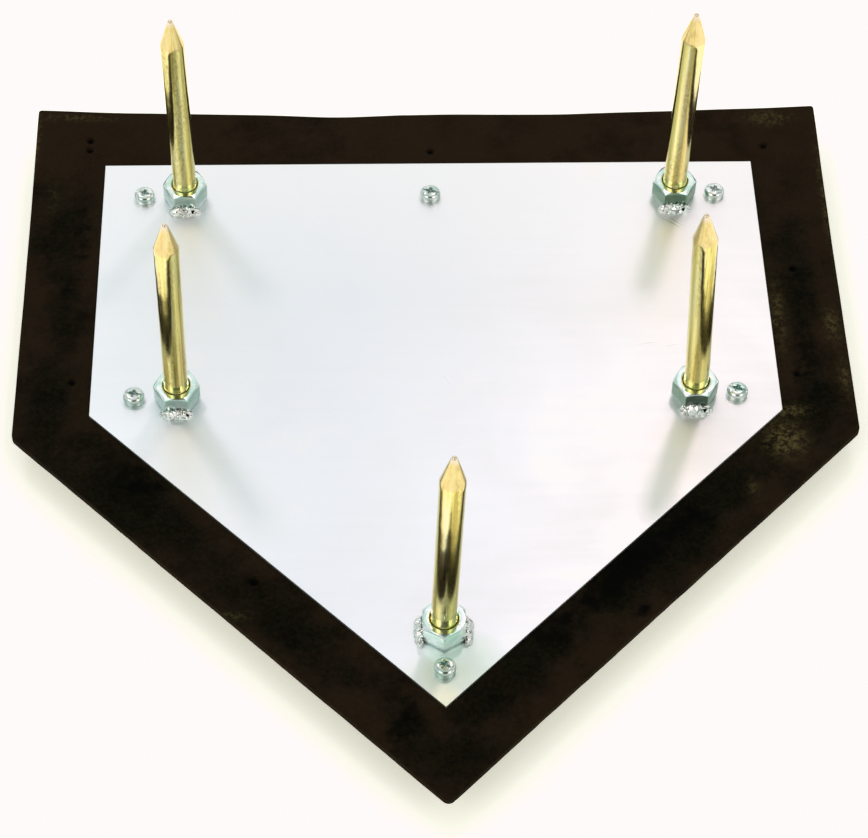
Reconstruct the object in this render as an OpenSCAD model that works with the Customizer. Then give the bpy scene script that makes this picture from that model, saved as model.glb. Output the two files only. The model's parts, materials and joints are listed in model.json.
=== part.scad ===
// Spiked home plate, lying on its white face with the spikes up, in millimetres.
// The floor is z = 0 and the point is towards -Y. The origin is under the centre of the plate's box.

/* [Rubber plate] */
// Width of the white face along its front edge
face_w = 431.8; // [400:0.1:460]
// Length of each short side of the white face
face_side = 215.9; // [200:0.1:230]
// Thickness of the white layer
face_t = 5; // [3:0.5:7]
// How far the black underside reaches past the white face, all round
overhang = 31.75; // [20:0.25:40]
// Thickness of the whole rubber plate
plate_t = 25.4; // [24:0.1:32]
// Height of the upright rim round the black underside
rim_h = 5; // [3:0.5:8]
// Flat black lip between the white face and the bevel
lip_w = 1; // [0.5:0.25:3]
// Radius of the two front corners
front_r = 2; // [1:0.5:5]
// Radius of the two shoulder corners
shoulder_r = 6; // [2:0.5:12]
// Radius of the point
point_r = 4; // [2:0.5:8]

/* [Steel plate] */
// Width of the steel plate along its front edge
steel_w = 406.4; // [395:0.1:415]
// Length of each short side of the steel plate
steel_side = 200.3; // [190:0.1:210]
// Distance from the rubber's front edge to the steel's front edge
steel_front_gap = 46.6; // [40:0.1:52]
// Thickness of the steel
steel_t = 1.9; // [1.5:0.1:3]

/* [Spikes] */
// Distance between the left and the right spikes
spike_span = 304; // [290:0.5:310]
// Distance between the front row and the shoulder row
row_gap = 160; // [150:0.5:165]
// Distance from the rubber's front edge to the front row
front_row_inset = 75; // [72:0.5:85]
// Distance from the rubber's point to the point spike
point_inset = 105.5; // [104:0.5:120]
// Overall length of a spike, its threaded end included
spike_l = 154.5; // [100:0.5:200]
// Diameter of the plain shank
shank_d = 14.3; // [13:0.1:15]
// Outer diameter of the threaded end
thread_d = 15.875; // [15.5:0.025:16.5]
// Length of the flare between the shank and the threaded end
flare_l = 5; // [3:0.5:8]
// Length of the pointed tip
cone_l = 20; // [12:0.5:30]
// Radius of the rounded nose of the tip
nose_r = 1.8; // [1:0.1:3]
// Space under a fully screwed-in spike
seat_gap = 0.1; // [0.05:0.05:0.5]

/* [Weld nuts] */
// Width of a nut across its flats
nut_flats = 23.8; // [22:0.1:26]
// Height of a nut
nut_h = 13.9; // [10:0.1:16]
// Radial clearance between the nut's bore and the spike's threaded end
thread_clearance = 0.05; // [0.02:0.01:0.1]
// Diameter of the countersink at the nut's top and bottom faces
sink_d = 17.3; // [16.8:0.1:18.5]
// Depth of each countersink
sink_depth = 0.9; // [0.5:0.1:1]
// Reach of a weld bead out from the nut and up its side
bead_r = 4.6; // [3:0.1:5.5]
// Spacing of the lumps along a weld bead
bead_step = 3.1; // [2:0.1:3.4]

/* [Screws] */
// Distance from each spike outwards to its screw
screw_gap = 25.4; // [23:0.1:28]
// Diameter of the screw's thread
screw_d = 6.35; // [5:0.05:6.5]
// Length of the screw under its head
screw_l = 15.9; // [12:0.1:16.5]
// Diameter of the screw's pan head
head_d = 12.5; // [11:0.1:13]
// Height of the screw's pan head
head_h = 4; // [3:0.1:5]
// Outer diameter of the lock washer
washer_d = 12.3; // [11:0.1:13]
// Thickness of the lock washer
washer_t = 1.6; // [1:0.1:2]
// Outer diameter of the threaded insert in the rubber
insert_d = 9.5; // [9:0.1:12]
// Length of the threaded insert
insert_l = 12.7; // [12:0.1:14]

/* [Hidden] */
$fn = 48;
eps = 0.01;
arc_steps = 5;

// The rubber outline, from the white face's size and the overhang round it
base_w = face_w + 2 * overhang;
base_side = face_side + overhang * (1 + tan(22.5));
point_loss = point_r * (sqrt(2) - 1);
base_depth = base_side + base_w / 2 - point_loss;
front_y = base_depth / 2;
bevel_w = overhang - lip_w;
bevel_h = plate_t - rim_h;

// Heights from the floor up
steel_z = plate_t + steel_t;
nut_z = steel_z + nut_h;
spike_z = steel_z + seat_gap;
flare_z = nut_z - sink_depth;
head_z = steel_z + washer_t;

spike_x = spike_span / 2;
row_1_y = front_y - front_row_inset;
row_2_y = row_1_y - row_gap;
point_y = point_inset - front_y;

// Each spike's name, place, and the turn of its nut and welds
SPOTS = [
    ["front_left", [-spike_x, row_1_y], 0],
    ["front_right", [spike_x, row_1_y], 0],
    ["shoulder_left", [-spike_x, row_2_y], 0],
    ["shoulder_right", [spike_x, row_2_y], 0],
    ["point", [0, point_y], 90]
];

// Each screw's name, place, and the turn of its slot
SCREWS = [
    ["front_left", [-spike_x - screw_gap, row_1_y], -20],
    ["front_middle", [0, row_1_y], -16],
    ["front_right", [spike_x + screw_gap, row_1_y], -24],
    ["shoulder_left", [-spike_x - screw_gap, row_2_y], -12],
    ["shoulder_right", [spike_x + screw_gap, row_2_y], -20],
    ["point", [0, point_y - screw_gap], -28]
];

// Clearances inside the screwed joints
hole_gap = 0.3;
snug_gap = 0.05;
insert_drop = 0.4;
screw_tip_room = 1.5;

// Chamfers of the nuts and of the spikes' threaded ends
chamfer_share = 0.97;
chamfer_angle = 30;
end_chamfer = 1.2;

// Weld beads: how deep their lumps' centres lie, and how fast the lumps shrink towards the ends
bead_sink = 0.8;
bead_taper = 0.3;

// Screw heads and their driver recess
head_side_share = 0.35;
head_round = 3.2;
slot_w = 1.3;
slot_depth = 1.4;
cross_l = 6.6;
cross_w = 1.9;
cross_depth = 2.4;

// Split of the lock washers, and grooves of the inserts
washer_split = 1.2;
split_lean = 25;
groove_w = 1.5;
groove_depth = 0.5;

// Corners of a home-plate outline: square front corners, and back edges at 45 degrees
function plate_corners(w, side, y) = [
    [-w / 2, y],
    [-w / 2, y - side],
    [0, y - side - w / 2],
    [w / 2, y - side],
    [w / 2, y]
];

function unit(v) = v / norm(v);

// Points of the arc of radius r that rounds corner b, between its neighbours a and c
function corner_arc(a, b, c, r) =
    let (u = unit(a - b), v = unit(c - b))
    let (half = acos(u * v) / 2, centre = b + unit(u + v) * r / sin(half))
    let (from = b + u * r / tan(half) - centre, to = b + v * r / tan(half) - centre)
    let (start = atan2(from.y, from.x), turn = (atan2(to.y, to.x) - start + 540) % 360 - 180)
    let (angles = [for (i = [0:arc_steps]) start + turn * i / arc_steps])
    [for (angle = angles) centre + r * [cos(angle), sin(angle)]];

// The outline with each corner rounded by its own radius
function rounded(p, radii) =
    let (n = len(p))
    [for (i = [0:n - 1]) each corner_arc(p[(i + n - 1) % n], p[i], p[(i + 1) % n], radii[i])];

module at(spot) {
    translate([spot[1].x, spot[1].y, 0]) rotate(spot[2]) children();
}

module face_outline() {
    polygon(plate_corners(face_w, face_side, front_y - overhang));
}

// What lies outside the slanted bevel along the edge from corner a to corner b
module bevel_cut(a, b) {
    run = b - a;
    spare = 2 * overhang;
    drop = 1;
    translate([b.x, b.y, 0])
        rotate([90, 0, atan2(-run.x, run.y)])
            translate([0, 0, -spare])
                linear_extrude(norm(run) + 2 * spare)
                    polygon([
                        [0, bevel_h],
                        [spare, bevel_h],
                        [spare, -drop],
                        [-bevel_w * (1 + drop / bevel_h), -drop]
                    ]);
}

module rubber_base() {
    corners = plate_corners(base_w, base_side, front_y);
    radii = [front_r, shoulder_r, point_r, shoulder_r, front_r];
    hole_z = plate_t - insert_l - insert_drop - screw_tip_room;
    color("#241d18")
        difference() {
            linear_extrude(plate_t) polygon(rounded(corners, radii));
            for (i = [0:4]) bevel_cut(corners[i], corners[(i + 1) % 5]);
            translate([0, 0, -1]) linear_extrude(face_t + 1) face_outline();
            for (s = SCREWS)
                at(s) translate([0, 0, hole_z]) cylinder(d = insert_d + 2 * snug_gap, h = plate_t);
        }
}

module white_face() {
    color("#f1efe8") linear_extrude(face_t) face_outline();
}

module steel_plate() {
    color("#dfe8ea")
        difference() {
            translate([0, 0, plate_t])
                linear_extrude(steel_t)
                    polygon(plate_corners(steel_w, steel_side, front_y - steel_front_gap));
            for (s = SCREWS)
                at(s) translate([0, 0, plate_t - 1]) cylinder(d = screw_d + 2 * hole_gap, h = steel_t + 2);
        }
}

// Hex nut standing on the steel, chamfered on both faces and countersunk at both ends of its bore
module nut(spot) {
    corner_r = nut_flats / 2 / cos(30);
    chamfer_r = nut_flats / 2 * chamfer_share;
    rise = (corner_r - chamfer_r) * tan(chamfer_angle);
    bore_r = thread_d / 2 + thread_clearance;
    color("#c3d0d2")
        at(spot)
            translate([0, 0, steel_z])
                difference() {
                    intersection() {
                        cylinder(r = corner_r, h = nut_h, $fn = 6);
                        rotate_extrude()
                            polygon([
                                [0, 0],
                                [chamfer_r, 0],
                                [corner_r, rise],
                                [corner_r, nut_h - rise],
                                [chamfer_r, nut_h],
                                [0, nut_h]
                            ]);
                    }
                    translate([0, 0, -1]) cylinder(r = bore_r, h = nut_h + 2);
                    translate([0, 0, -eps]) cylinder(r1 = sink_d / 2, r2 = bore_r, h = sink_depth);
                    translate([0, 0, nut_h - sink_depth + eps])
                        cylinder(r1 = bore_r, r2 = sink_d / 2, h = sink_depth);
                }
}

// Two lumpy weld beads, along the foot of two opposite flats of a nut
module weld_beads(spot) {
    reach = 3 * bead_r;
    color("#d9e0e2")
        at(spot)
            translate([0, 0, steel_z])
                for (side = [0, 180])
                    rotate(side)
                        intersection() {
                            translate([-reach, -nut_flats / 2 - reach, 0]) cube([2 * reach, reach, reach]);
                            for (i = [-2:2])
                                translate([bead_step * i, -nut_flats / 2 - bead_sink, bead_sink])
                                    sphere(r = bead_r - bead_sink - bead_taper * abs(i));
                        }
}

// The spike's shank: flared foot, straight bar, cone and rounded nose
module spike(spot) {
    shank_r = shank_d / 2;
    tip_z = spike_z + spike_l;
    cone_z = tip_z - cone_l;
    nose_z = tip_z - nose_r;
    rise = nose_z - cone_z;
    lean = atan2(shank_r, rise) - asin(nose_r / norm([shank_r, rise]));
    foot = [
        for (i = [0:arc_steps])
            let (s = i / arc_steps)
                [shank_r + (thread_d / 2 - shank_r) * pow(1 - s, 2), flare_z + flare_l * s]
    ];
    nose = [
        for (i = [0:arc_steps])
            let (a = lean + (90 - lean) * i / arc_steps)
                [nose_r * cos(a), nose_z + nose_r * sin(a)]
    ];
    color("#c9b264")
        at(spot) rotate_extrude() polygon(concat([[0, flare_z]], foot, [[shank_r, cone_z]], nose));
}

// The spike's threaded end, as the plain cylinder of the thread's crests
module spike_thread(spot) {
    r = thread_d / 2;
    color("#b9a35c")
        at(spot)
            rotate_extrude()
                polygon([
                    [0, spike_z],
                    [r - end_chamfer, spike_z],
                    [r, spike_z + end_chamfer],
                    [r, flare_z],
                    [0, flare_z]
                ]);
}

// Pan-head screw with a cross recess and a slot across the whole head
module screw(spot) {
    head_r = head_d / 2;
    side_h = head_h * head_side_share;
    dome = [
        for (i = [0:arc_steps])
            let (a = 90 * i / arc_steps)
                [head_r - head_round * (1 - cos(a)), side_h + (head_h - side_h) * sin(a)]
    ];
    color("#cfd8da")
        at(spot)
            translate([0, 0, head_z])
                difference() {
                    union() {
                        rotate_extrude() polygon(concat([[0, 0], [head_r, 0]], dome, [[0, head_h]]));
                        translate([0, 0, -screw_l]) cylinder(d = screw_d, h = screw_l + eps);
                    }
                    recess(head_d + 1, slot_w, slot_depth);
                    recess(cross_l, cross_w, cross_depth);
                    rotate(90) recess(cross_l, cross_w, cross_depth);
                }
}

module recess(l, w, depth) {
    translate([-l / 2, -w / 2, head_h - depth]) cube([l, w, depth + 1]);
}

module lock_washer(spot) {
    color("#c3cbcd")
        at(spot)
            translate([0, 0, steel_z])
                difference() {
                    cylinder(d = washer_d, h = washer_t);
                    translate([0, 0, -1]) cylinder(d = screw_d + 2 * hole_gap, h = washer_t + 2);
                    translate([0, 0, washer_t / 2])
                        rotate([split_lean, 0, 0])
                            translate([0, -washer_split / 2, -washer_t * 2])
                                cube([washer_d, washer_split, washer_t * 4]);
                }
}

// Threaded insert moulded into the rubber, with two grooves that grip it
module insert(spot) {
    r = insert_d / 2;
    bore_r = screw_d / 2 + snug_gap;
    groove = [
        for (share = [0.3, 0.7])
            for (p = [[0, -1], [-groove_depth, -1], [-groove_depth, 1], [0, 1]])
                [r + p.x, insert_l * share + p.y * groove_w / 2]
    ];
    color("#b98d3c")
        at(spot)
            translate([0, 0, plate_t - insert_drop - insert_l])
                rotate_extrude()
                    polygon(concat([[bore_r, 0], [r, 0]], groove, [[r, insert_l], [bore_r, insert_l]]));
}

rubber_base();
white_face();
steel_plate();
for (s = SPOTS) {
    nut(s);
    weld_beads(s);
    spike(s);
    spike_thread(s);
}
for (s = SCREWS) {
    screw(s);
    lock_washer(s);
    insert(s);
}
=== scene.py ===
"""Looks of the spiked home plate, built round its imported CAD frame.

Everything is in the row frame. Shapes are worked out in millimetres, and they are turned into metres when a
mesh is made.
"""

import json
import math

import bmesh
import bpy
import numpy as np
from mathutils import Matrix, Vector
from mathutils.geometry import delaunay_2d_cdt


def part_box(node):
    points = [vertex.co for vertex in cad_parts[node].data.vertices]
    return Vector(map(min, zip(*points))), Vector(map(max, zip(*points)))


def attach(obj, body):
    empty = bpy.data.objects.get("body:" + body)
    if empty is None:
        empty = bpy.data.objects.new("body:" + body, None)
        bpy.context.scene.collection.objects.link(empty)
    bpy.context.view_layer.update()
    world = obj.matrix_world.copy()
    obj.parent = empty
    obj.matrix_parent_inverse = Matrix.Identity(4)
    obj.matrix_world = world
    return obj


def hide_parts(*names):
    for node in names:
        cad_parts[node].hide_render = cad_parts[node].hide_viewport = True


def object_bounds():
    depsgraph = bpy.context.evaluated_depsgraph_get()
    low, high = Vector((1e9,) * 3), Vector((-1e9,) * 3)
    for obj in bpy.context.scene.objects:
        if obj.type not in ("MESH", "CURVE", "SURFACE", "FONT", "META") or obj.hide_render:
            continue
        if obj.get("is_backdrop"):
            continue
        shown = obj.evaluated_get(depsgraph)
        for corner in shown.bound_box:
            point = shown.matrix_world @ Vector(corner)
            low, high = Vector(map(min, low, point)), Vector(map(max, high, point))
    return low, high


MM = 0.001
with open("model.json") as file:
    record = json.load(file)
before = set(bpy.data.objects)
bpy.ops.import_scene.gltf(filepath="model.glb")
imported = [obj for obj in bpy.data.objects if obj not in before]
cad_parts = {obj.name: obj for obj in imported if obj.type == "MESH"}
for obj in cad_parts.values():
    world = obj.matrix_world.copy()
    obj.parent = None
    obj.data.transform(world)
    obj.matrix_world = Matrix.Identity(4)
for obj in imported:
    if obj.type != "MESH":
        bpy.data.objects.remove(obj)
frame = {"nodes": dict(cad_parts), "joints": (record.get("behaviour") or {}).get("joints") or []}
cad_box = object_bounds()

# ---------------------------------------------------------------- sizes, in millimetres
BASE_W, BASE_SIDE, FRONT_Y = 495.3, 260.8, 253.397
FACE_INSET, PLATE_T, RIM_Z, LIP_W, FACE_T = 31.75, 25.4, 20.4, 1.0, 5.0
CORNER_RADII = (2.0, 6.0, 4.0, 6.0, 2.0)
STEEL_Z, HOLE_R = 27.3, 3.225
NUT_FLATS, NUT_H, SINK_R, SINK_DEPTH = 23.8, 13.9, 8.65, 0.9
SHANK_R, THREAD_R, FLARE_L, CONE_L, NOSE_R = 7.15, 7.85, 5.0, 20.0, 1.8
SPIKE_Z, SPIKE_L, PITCH, THREAD_DEPTH = 27.4, 154.5, 25.4 / 11, 1.35
HEAD_R, HEAD_H, WASHER_T, SCREW_L, SCREW_R = 6.25, 4.0, 1.6, 15.9, 3.12
# Heights on a spike above the floor: the foot of its flare, its tip, the foot of its cone, its nose's centre
FLARE_Z = STEEL_Z + NUT_H - SINK_DEPTH
TIP_Z = SPIKE_Z + SPIKE_L
CONE_Z = TIP_Z - CONE_L
NOSE_Z = TIP_Z - NOSE_R

SPOTS = {j["name"].split("_", 1)[1]: j["pos_m"] for j in frame["joints"] if j["type"] == "hinge"}
SCREWS = [name[len("screw_"):] for name in frame["nodes"] if name.startswith("screw_")]
# How far each screw's slot is turned from the X axis, in degrees
SLOT_TURN = {"front_left": -20, "front_middle": -16, "front_right": -24,
             "shoulder_left": -12, "shoulder_right": -20, "point": -28}
# How strong the painted shade on each nut's sides is, and the painted dark reflection on its near side
NUT_SHADE = {"front_left": (0.22, 0.0), "front_right": (1.0, 0.25), "shoulder_left": (0.25, 0.0),
            "shoulder_right": (0.9, 0.65), "point": (0.05, 0.0)}
# How far each real spike's tip leans from upright, to the right and away, in millimetres
LEAN = {"front_left": (-0.8, -3.0), "front_right": (1.2, 0.0), "shoulder_left": (1.7, -2.2),
        "shoulder_right": (-6.4, 2.0), "point": (2.8, 2.8)}


def spot_xy(spot):
    return np.array(SPOTS[spot][:2]) / MM


def screw_xy(screw):
    low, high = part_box("screw_" + screw)
    return np.array((low.x + high.x, low.y + high.y)) / 2 / MM


# ---------------------------------------------------------------- mesh helpers
def smoothstep(t):
    t = np.clip(t, 0, 1)
    return t * t * (3 - 2 * t)


def ripple(p, size, seed, waves=9):
    """Smooth seeded lumps of about one size, from -1 to 1, at points p in millimetres."""
    draw = np.random.default_rng(seed)
    total = np.zeros(len(p))
    for _ in range(waves):
        direction = draw.normal(size=p.shape[1])
        direction *= draw.uniform(0.6, 1.5) * 2 * math.pi / size / np.linalg.norm(direction)
        total += np.sin(p @ direction + draw.uniform(0, 2 * math.pi))
    return total / waves ** 0.5 / 1.6


def around(count):
    """Evenly spaced angles round a circle."""
    return np.arange(count) * 2 * math.pi / count


def hoop(angles, radius, z):
    """Points round the z axis. radius is one number, or one for each angle."""
    return np.stack([radius * np.cos(angles), radius * np.sin(angles), z + 0 * angles], 1)


def loft(rings, closed=False, caps=True):
    """Points and faces of rings of equal length, joined in order; closed joins the last to the first."""
    rings = np.asarray(rings, float)
    rows, count, _ = rings.shape
    faces = []
    for i in range(rows if closed else rows - 1):
        a, b = i * count, (i + 1) % rows * count
        for j in range(count):
            k = (j + 1) % count
            faces.append((a + j, a + k, b + k, b + j))
    points = rings.reshape(-1, 3)
    if caps and not closed:
        middle = len(points)
        points = np.vstack([points, rings[0].mean(0), rings[-1].mean(0)])
        last = (rows - 1) * count
        for j in range(count):
            k = (j + 1) % count
            faces.append((k, j, middle))
            faces.append((last + j, last + k, middle + 1))
    return points, faces


def together(*shells):
    """Several shells of points and faces as one."""
    points, faces, start = [], [], 0
    for p, f in shells:
        points.append(p)
        faces += [tuple(i + start for i in face) for face in f]
        start += len(p)
    return np.vstack(points), faces


def placed(shell, xy=(0, 0), z=0.0, turn=0.0):
    """A shell turned about the z axis, in degrees, and then moved."""
    points, faces = shell
    c, s = math.cos(math.radians(turn)), math.sin(math.radians(turn))
    turned = points @ np.array([[c, s, 0], [-s, c, 0], [0, 0, 1]])
    return turned + np.array([xy[0], xy[1], z]), faces


def piece(name, shell, body, nodes, slot, crease=35, masks=None, weld=None):
    """A finished mesh object that rides on a body and stands for CAD nodes. slot names its finish.

    weld is how near two points are to become one, in millimetres.
    """
    points, faces = shell
    mesh = bpy.data.meshes.new(name)
    mesh.from_pydata((np.asarray(points) * MM).tolist(), [], faces)
    solid = bmesh.new()
    solid.from_mesh(mesh)
    if weld:
        bmesh.ops.remove_doubles(solid, verts=solid.verts, dist=weld * MM)
    bmesh.ops.recalc_face_normals(solid, faces=solid.faces)
    solid.to_mesh(mesh)
    solid.free()
    for mask, values in (masks or {}).items():
        layer = mesh.attributes.new(mask, "FLOAT", "POINT")
        layer.data.foreach_set("value", np.asarray(values, np.float32))
    mesh.shade_smooth()
    mesh.set_sharp_from_angle(angle=math.radians(crease))
    mesh.materials.append(FINISHES[slot])
    obj = bpy.data.objects.new(name, mesh)
    bpy.context.scene.collection.objects.link(obj)
    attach(obj, body)
    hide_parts(*nodes)
    return obj


# ---------------------------------------------------------------- materials
class Finish:
    """A procedural material. Noise is laid out in the row frame, in metres."""

    def __init__(self, name, **shader):
        self.material = bpy.data.materials.new(name)
        self.material.use_nodes = True
        self.tree = self.material.node_tree
        self.shader = self.tree.nodes["Principled BSDF"]
        for key, value in shader.items():
            self.shader.inputs[key.replace("_", " ")].default_value = value
        self.place = self.node("ShaderNodeTexCoord").outputs["Object"]

    def node(self, kind, inputs=(), **settings):
        n = self.tree.nodes.new(kind)
        for key, value in settings.items():
            setattr(n, key, value)
        for key, value in dict(inputs).items():
            self.feed(n.inputs[key], value)
        return n

    def feed(self, socket, value):
        if isinstance(value, bpy.types.NodeSocket):
            self.tree.links.new(value, socket)
        else:
            socket.default_value = value

    def noise(self, scale, detail=4.0, rough=0.55, stretch=(1, 1, 1), shift=(0, 0, 0), warp=0.0):
        at = self.node("ShaderNodeMapping", {"Vector": self.place, "Scale": stretch, "Location": shift})
        return self.node("ShaderNodeTexNoise", {"Vector": at.outputs[0], "Scale": scale, "Detail": detail,
                                                "Roughness": rough, "Distortion": warp}).outputs[0]

    def mask(self, name):
        return self.node("ShaderNodeAttribute", attribute_name=name).outputs["Fac"]

    def axis(self, letter):
        return self.node("ShaderNodeSeparateXYZ", {"Vector": self.place}).outputs[letter]

    def levels(self, value, low, high, to_low=0.0, to_high=1.0):
        return self.node("ShaderNodeMapRange", {0: value, 1: low, 2: high, 3: to_low, 4: to_high}).outputs[0]

    def math(self, operation, a, b=0.0):
        return self.node("ShaderNodeMath", {0: a, 1: b}, operation=operation).outputs[0]

    def mix(self, share, a, b, blend="MIX"):
        a, b = (v if isinstance(v, bpy.types.NodeSocket) else (*v, 1.0) for v in (a, b))
        n = self.node("ShaderNodeMix", {0: share, 6: a, 7: b}, data_type="RGBA", blend_type=blend)
        return n.outputs[2]

    def ramp(self, value, *stops):
        n = self.node("ShaderNodeValToRGB", {0: value})
        band = n.color_ramp
        while len(band.elements) < len(stops):
            band.elements.new(0.5)
        for element, (place, colour) in zip(band.elements, stops):
            element.position = place
            element.color = (*colour, 1.0)
        return n.outputs[0]

    def bump(self, height, depth, after=None):
        inputs = {"Height": height, "Distance": depth * MM, "Strength": 1.0}
        if after is not None:
            inputs["Normal"] = after
        return self.node("ShaderNodeBump", inputs).outputs[0]

    def line(self, x0, y0, x1, y1, width, share, wander):
        """A scratch from one place to another in the row frame, in millimetres, wider in its middle."""
        length = math.hypot(x1 - x0, y1 - y0)
        u, v = (x1 - x0) / length, (y1 - y0) / length
        x = self.math("SUBTRACT", self.axis("X"), x0 * MM)
        y = self.math("SUBTRACT", self.axis("Y"), y0 * MM)
        along = self.math("ADD", self.math("MULTIPLY", x, u), self.math("MULTIPLY", y, v))
        across = self.math("SUBTRACT", self.math("MULTIPLY", y, u), self.math("MULTIPLY", x, v))
        across = self.math("ABSOLUTE", self.math("ADD", across, wander))
        middle = self.math("ABSOLUTE", self.math("SUBTRACT", along, length / 2 * MM))
        reach = self.levels(middle, 0, length / 2 * MM, width * MM, 0)
        return self.math("MULTIPLY", self.math("LESS_THAN", across, reach), share)

    def spot(self, x, y, rx, ry, share):
        """A soft patch about a place in the row frame, in millimetres."""
        across = self.math("DIVIDE", self.math("SUBTRACT", self.axis("X"), x * MM), rx * MM)
        up = self.math("DIVIDE", self.math("SUBTRACT", self.axis("Y"), y * MM), ry * MM)
        reach = self.math("ADD", self.math("MULTIPLY", across, across), self.math("MULTIPLY", up, up))
        return self.levels(reach, 1, 0, 0, share)

    def wear(self, colour=None, rough=None, normal=None):
        for key, value in (("Base Color", colour), ("Roughness", rough), ("Normal", normal)):
            if value is not None:
                self.feed(self.shader.inputs[key], value)
        return self.material


# Scratches on the steel plate: from x, y to x, y, half width in millimetres, and strength
SCRATCHES = [(143.4, 160.4, 156.0, 150.7, 0.7, 0.9), (149.2, 161.0, 156.6, 152.6, 0.5, 0.7),
             (121.7, 57.5, 136.2, 60.3, 0.5, 0.6), (138.0, 55.6, 147.0, 58.0, 0.4, 0.5),
             (5.5, 36.0, 9.3, 28.0, 0.35, 0.4)]
# Patches on the steel plate, painted shade and reflection of the point's nut and screw and then a cream tint
# at the tip: x, y, half width, half depth in millimetres, strength and colour
SHADE_AND_TINT = [(14, -172, 26, 26, 0.8, (0.56, 0.70, 0.61)), (-6, -176, 26, 14, 0.4, (0.66, 0.80, 0.68)),
           (0, -194, 12, 14, 0.7, (0.80, 0.86, 0.64))]


def black_rubber():
    """Brown-black rubber with an olive bloom, ragged black stains and pale dust, and painted shade near black
    in its pits.
    """
    f = Finish("black_rubber", Specular_IOR_Level=0.03)
    broad = f.noise(11, 5, 0.6, warp=0.4)
    blotch = f.noise(48, 7, 0.68, shift=(3, 1, 0))
    speck = f.noise(420, 5, 0.7, shift=(0, 7, 0))
    colour = f.mix(f.levels(blotch, 0.46, 0.66, 0, 0.5), (0.0168, 0.0104, 0.0050), (0.0048, 0.0040, 0.0016))
    front = f.levels(f.axis("Y"), 0.195, 0.215, 0, 0.6)
    colour = f.mix(front, colour, (0.0196, 0.0112, 0.0056))
    colour = f.mix(f.levels(speck, 0.48, 0.66, 0, 0.45), colour, (0.0226, 0.0146, 0.0082))
    olive = f.mix(f.levels(speck, 0.42, 0.62), (0.0022, 0.0023, 0.0010), (0.0064, 0.0064, 0.0027))
    share = f.math("ADD", f.mask("olive"), f.levels(broad, 0.3, 0.7, -0.45, 0.35))
    share = f.math("ADD", share, f.levels(blotch, 0.3, 0.7, -0.25, 0.25))
    colour = f.mix(f.levels(share, 0.02, 0.70, 0, 0.92), colour, olive)
    fringe = f.noise(120, 6, 0.7, shift=(8, 2, 0))
    ragged = f.math("ADD", f.mask("stain"), f.levels(fringe, 0.3, 0.7, -0.45, 0.45))
    stain = f.math("MULTIPLY", f.levels(ragged, 0.15, 0.75, 0, 0.95), f.levels(f.mask("stain"), 0.02, 0.25))
    colour = f.mix(stain, colour, (0.0010, 0.0011, 0.0006))
    dust = f.math("MULTIPLY", f.mask("dust"), f.levels(f.noise(330, 7, 0.80), 0.45, 0.60, 0, 1.4))
    colour = f.mix(dust, colour, (0.0900, 0.0740, 0.0270))
    # Painted shade: the pits are darkened near black.
    colour = f.mix(f.mask("pit_and_shade"), colour, (0.0003, 0.0003, 0.0002))
    grain = f.bump(f.noise(1500, 3, 0.6), 0.05)
    return f.wear(colour, f.levels(blotch, 0.3, 0.7, 0.72, 0.92), f.bump(blotch, 0.12, grain))


def white_rubber():
    """White rubber with light scuffs and dark specks."""
    f = Finish("white_rubber", Specular_IOR_Level=0.3)
    scuff = f.noise(55, 8, 0.75, stretch=(1, 0.5, 1))
    colour = f.mix(f.levels(scuff, 0.48, 0.74, 0, 0.45), (0.80, 0.79, 0.76), (0.58, 0.55, 0.49))
    speck = f.levels(f.noise(500, 4, 0.7), 0.62, 0.72, 0, 0.6)
    colour = f.mix(speck, colour, (0.34, 0.30, 0.25))
    return f.wear(colour, f.levels(scuff, 0.3, 0.7, 0.45, 0.75), f.bump(f.noise(900, 3, 0.6), 0.08))


def zinc_sheet():
    """Zinc-plated sheet with a grain along X and warm clouds, painted light that makes it bluer on the left
    and paler towards the far edge, painted shade and reflection of the point's nut and screw, a cream tint at
    its tip, and scratches.
    """
    f = Finish("zinc_sheet", Metallic=1.0)
    # Painted light: the colour runs from bluer on the left to more neutral on the right, mixed with random
    # clouds.
    across = f.levels(f.axis("X"), -0.21, 0.21)
    cloud = f.noise(9, 4, 0.55, warp=0.8)
    painted_light_and_cloud = f.math("ADD", f.math("MULTIPLY", across, 0.75), f.math("MULTIPLY", cloud, 0.35))
    colour = f.ramp(painted_light_and_cloud, (0.05, (0.775, 0.85, 0.865)), (0.45, (0.76, 0.815, 0.85)),
                    (0.85, (0.845, 0.845, 0.84)))
    grain = f.noise(240, 5, 0.6, stretch=(0.06, 1, 1))
    colour = f.mix(f.levels(grain, 0.35, 0.7, 0, 0.10), colour, (0.70, 0.78, 0.76))
    # Painted light: the far part of the sheet is painted paler.
    front = f.levels(f.axis("Y"), 0.10, 0.20, 0, 0.6)
    colour = f.mix(front, colour, (0.915, 0.925, 0.925))
    warm = f.levels(f.noise(22, 5, 0.6, shift=(5, 2, 0)), 0.60, 0.75, 0, 0.22)
    colour = f.mix(warm, colour, (0.93, 0.86, 0.74))
    # The first two patches are painted shade and reflection of the point's nut and screw.
    for x, y, rx, ry, share, tint in SHADE_AND_TINT:
        colour = f.mix(f.spot(x, y, rx, ry, share), colour, tint)
    wander = f.levels(f.noise(60, 3, 0.6, shift=(2, 9, 0)), 0.3, 0.7, -0.5 * MM, 0.5 * MM)
    for x0, y0, x1, y1, width, share in SCRATCHES:
        bright = f.line(x0, y0, x1, y1, width, share, wander)
        shade = f.line(x0 - 0.5, y0 - 0.5, x1 - 0.5, y1 - 0.5, width * 0.7, share, wander)
        colour = f.mix(bright, colour, (1.0, 1.0, 0.99))
        colour = f.mix(shade, colour, (0.45, 0.55, 0.50))
    rough = f.levels(f.math("ADD", cloud, f.math("MULTIPLY", grain, 0.35)), 0.45, 0.85, 0.38, 0.46)
    return f.wear(colour, rough, f.bump(f.noise(5, 2, 0.4), 0.5, f.bump(grain, 0.010)))


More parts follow.
